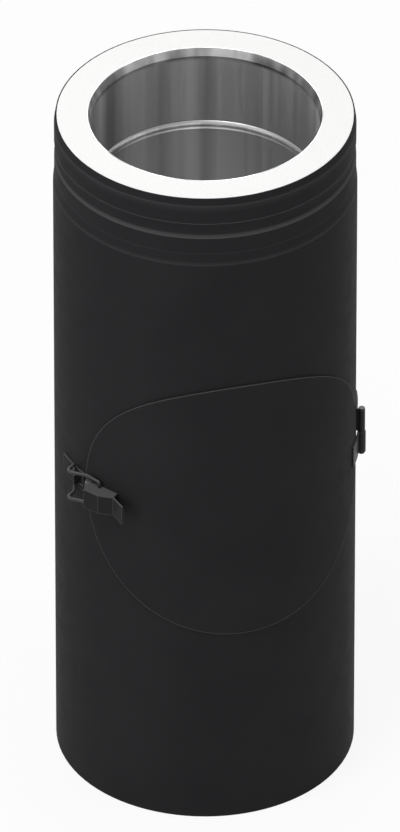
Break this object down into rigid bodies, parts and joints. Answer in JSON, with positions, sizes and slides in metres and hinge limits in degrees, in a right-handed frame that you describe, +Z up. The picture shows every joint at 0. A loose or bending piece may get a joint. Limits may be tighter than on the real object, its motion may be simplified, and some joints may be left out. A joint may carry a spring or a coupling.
{
  "type": "stove pipe with soot door",
  "caption": "Black insulated twin-wall stove pipe length with an oval soot door rolled to the pipe, a side hinge, a wire-claw toggle latch, a spigot top and a socket base.",
  "frame": {"origin": "centre of the pipe's bottom rim", "axes": "+Z up along the pipe axis to the spigot end, -Y out through the middle of the soot door, +X towards the hinge side"},
  "size_m": [0.2045, 0.2014, 0.5],
  "materials": {
    "casing_paint": "matt heat-proof black paint",
    "fitting_paint": "satin black paint",
    "black_wire": "black-coated bright steel",
    "stainless": "mill-finish stainless sheet",
    "fibre": "white ceramic fibre",
    "rope": "knitted glass rope"
  },
  "bodies": {
    "pipe": {"outer_casing": "casing_paint", "inner_liner": "stainless", "insulation": "fibre", "lower_end_ring": "stainless", "door_throat": "stainless", "hinge_casing_leaf": "fitting_paint", "hinge_pin": "black_wire", "latch_keeper": "fitting_paint"},
    "door": {"door_skin": "casing_paint", "door_cover": "stainless", "door_insulation": "fibre", "door_gasket": "rope", "hinge_door_leaf": "fitting_paint", "latch_base": "fitting_paint", "latch_pin": "black_wire"},
    "lever": {"latch_lever": "fitting_paint"},
    "claw": {"latch_claw": "black_wire"}
  },
  "joints": [
    {"name": "door_swing", "type": "hinge", "parent": "pipe", "child": "door", "pos_m": [0.09749, -0.03678, 0.2525], "axis": [0, 0, 1], "range_deg": [0, 135]},
    {"name": "latch_lever_turn", "type": "hinge", "parent": "door", "child": "lever", "pos_m": [-0.09286, -0.04879, 0.247], "axis": [0, 0, -1], "range_deg": [0, 100]},
    {"name": "latch_claw_turn", "type": "hinge", "parent": "lever", "child": "claw", "pos_m": [-0.08726, -0.0564, 0.247], "axis": [0, 0, -1], "range_deg": [-100, 0]}
  ],
  "couplings": [
    {"joint": "latch_claw_turn", "follows": "latch_lever_turn", "ratio": -1}
  ]
}
